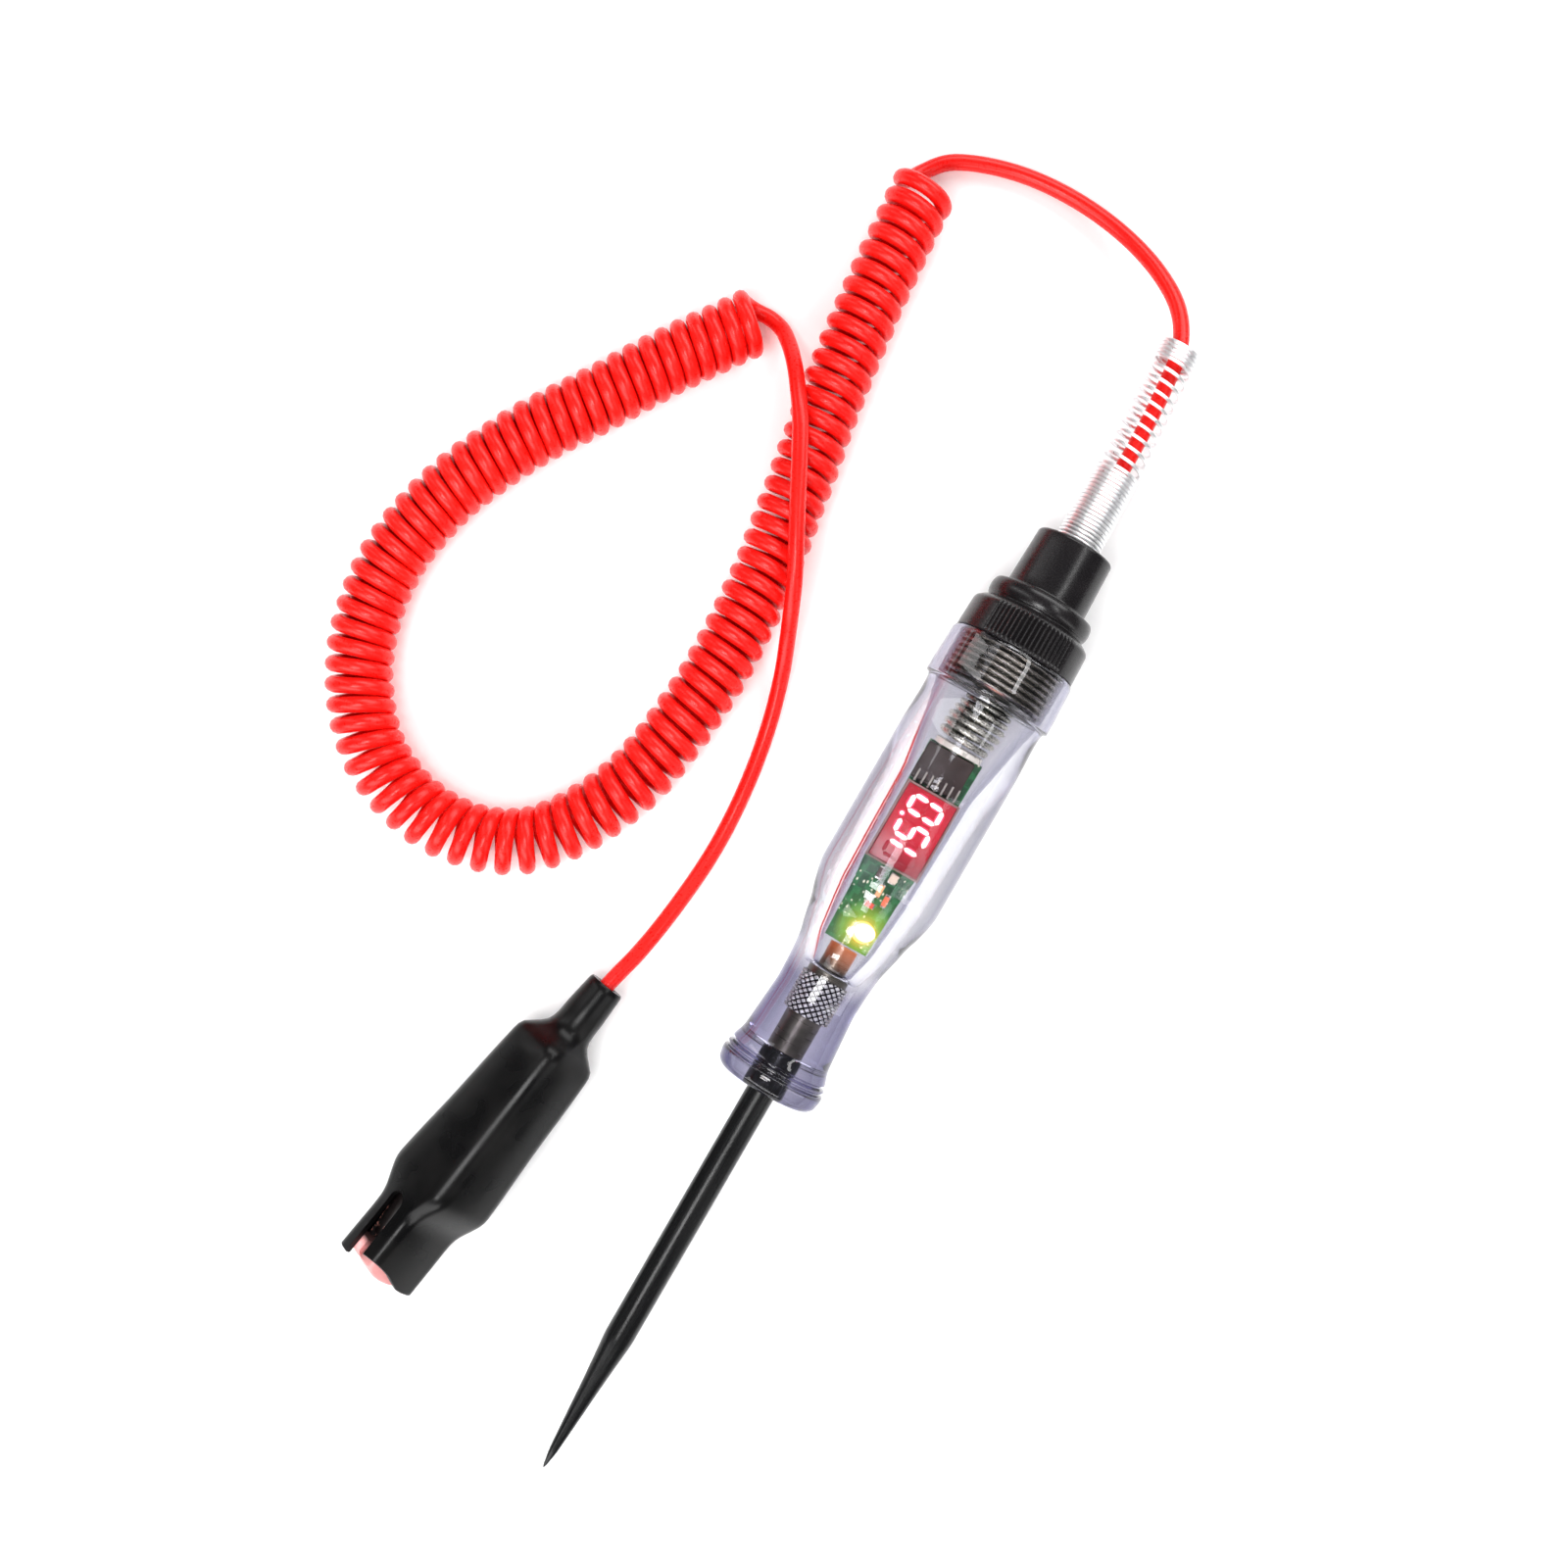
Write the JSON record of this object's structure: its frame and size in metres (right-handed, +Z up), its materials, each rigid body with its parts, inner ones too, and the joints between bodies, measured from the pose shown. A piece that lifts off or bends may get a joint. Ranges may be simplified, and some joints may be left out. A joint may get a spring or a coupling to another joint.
{
  "type": "circuit test light",
  "caption": "Automotive circuit tester: needle probe, clear handle with digital read-out and lamp, screw cap, spring strain relief, curly lead and a booted alligator clip.",
  "frame": {"origin": "on the surface the tester lies on, under the middle of the tester's length from the needle's tip to the end of the cord's spring", "axes": "+Y along the tester from the needle's tip towards the cord, +Z up from the surface, +X to the right seen from above with the needle towards the viewer"},
  "size_m": [0.1582, 0.3158, 0.0312],
  "materials": {
    "clear_plastic": "polished clear plastic with a violet tint",
    "black_steel": "satin black finish on steel",
    "bare_steel": "turned steel",
    "nickel": "nickel plate",
    "board_green": "green solder mask",
    "display_black": "black moulding",
    "display_red": "red window, lit from inside",
    "chip_brown": "dark moulding",
    "led_yellow": "lit lamp, clear resin",
    "resistor_red": "lacquered",
    "ceramic_white": "off-white",
    "black_plastic": "semi-gloss black moulding",
    "spring_steel": "bright spring wire",
    "brass": "bare brass",
    "cord_red": "glossy red cord jacket",
    "copper": "copper plate on steel",
    "boot_black": "glossy soft black boot"
  },
  "bodies": {
    "handle": {"probe_rod": "black_steel", "contact_bush": "bare_steel", "handle_shell": "clear_plastic", "circuit_board": "board_green", "display_housing": "display_black", "display_window": "display_red", "controller_chip": "chip_brown", "resistor_1": "resistor_red", "resistor_2": "resistor_red", "resistor_3": "ceramic_white", "transistor": "display_black", "capacitor": "ceramic_white", "indicator_led": "led_yellow", "spring_seat": "ceramic_white", "contact_spring": "spring_steel"},
    "cord_end": {"strain_relief_spring": "spring_steel", "cord_terminal": "brass", "cord_lead_upper": "cord_red", "cord_coil": "cord_red", "cord_lead_lower": "cord_red", "clip_lower_jaw": "copper", "clip_pivot_pin": "bare_steel", "clip_torsion_spring": "spring_steel", "clip_crimp": "brass", "clip_boot": "boot_black"},
    "cap": {"screw_cap": "black_plastic", "thread_plug": "nickel"},
    "upper_jaw": {"clip_upper_jaw": "copper"}
  },
  "joints": [
    {"name": "cap_travel", "type": "slide", "parent": "handle", "child": "cord_end", "axis": [0, 1, 0], "range_m": [0, 0.0105], "deforming": ["contact_spring"]},
    {"name": "cap_turn", "type": "hinge", "parent": "cord_end", "child": "cap", "pos_m": [0, 0.0668, 0.0156], "axis": [0, 1, 0], "range_deg": [0, 2520]},
    {"name": "jaw_pivot", "type": "hinge", "parent": "cord_end", "child": "upper_jaw", "pos_m": [-0.05068, -0.09676, 0.01329], "axis": [-0.6391, 0.1579, 0.7527], "range_deg": [0, 18], "stiffness_Nm_per_rad": 0.1, "springref_deg": -68.75, "deforming": ["clip_boot", "clip_torsion_spring"]}
  ],
  "couplings": [
    {"joint": "cap_turn", "follows": "cap_travel", "rad_per_m": 4188.8}
  ]
}
